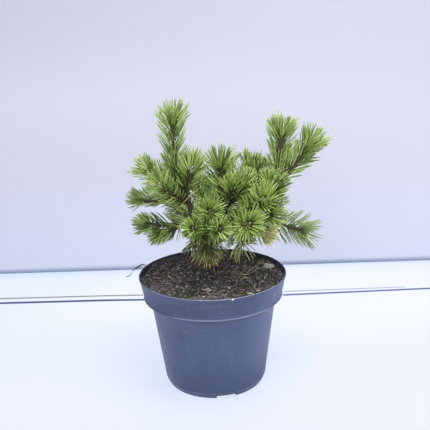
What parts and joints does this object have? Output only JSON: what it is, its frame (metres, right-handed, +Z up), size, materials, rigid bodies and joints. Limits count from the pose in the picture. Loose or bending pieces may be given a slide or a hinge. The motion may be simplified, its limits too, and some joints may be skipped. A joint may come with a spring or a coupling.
{
  "type": "potted winter gold mugo pine",
  "caption": "Young dwarf mountain pine with upright shoots of gold-green needles, growing in a round slate-blue nursery pot of soil.",
  "frame": {"origin": "centre of the flat underside of the pot, where it stands on the ground", "axes": "+Z up the plant, +X to the right as seen from its front, +Y towards its back"},
  "size_m": [0.3172, 0.2585, 0.4416],
  "materials": {
    "pot": "slate-blue polypropylene, matt, lightly scuffed",
    "soil": "moist dark potting mix with bark chips and fibres",
    "bark": "rough grey-brown bark",
    "needles_gold": "fresh gold-green needles, satin",
    "needles_green": "mid-green needles, satin",
    "needles_old": "old olive needles with yellow ends",
    "needles_straw": "straw-yellow needles"
  },
  "bodies": {
    "root": {"pot": "pot", "soil": "soil", "trunk": "bark", "bough_right": "bark", "bough_centre": "bark", "bough_left": "bark", "bough_left_low": "bark", "bough_front": "bark", "bough_front_right": "bark", "bough_right_low": "bark", "bough_back": "bark", "bough_back_left": "bark", "bough_back_right": "bark", "mass_leader": "needles_gold", "mass_left_upper": "needles_gold", "mass_left_front": "needles_gold", "mass_left_side": "needles_green", "mass_left_low": "needles_green", "mass_left_under": "needles_green", "mass_centre_left": "needles_gold", "mass_centre_top": "needles_gold", "mass_centre_right": "needles_gold", "mass_front_up": "needles_gold", "mass_front_left": "needles_gold", "mass_front_middle": "needles_gold", "mass_right_up": "needles_gold", "mass_right_out": "needles_gold", "mass_right_front": "needles_gold", "mass_right_middle": "needles_gold", "mass_right_crest": "needles_gold", "mass_right_low": "needles_green", "mass_right_yellow": "needles_straw", "mass_front_right": "needles_gold", "mass_back_low": "needles_green", "mass_back_high": "needles_gold", "mass_back_left_low": "needles_green", "mass_back_left_high": "needles_gold", "mass_back_right_low": "needles_green", "mass_back_right_high": "needles_gold", "mass_back_side": "needles_green", "mass_skirt": "needles_old", "mass_hang_left": "needles_green", "mass_hang_right": "needles_old"}
  },
  "joints": []
}
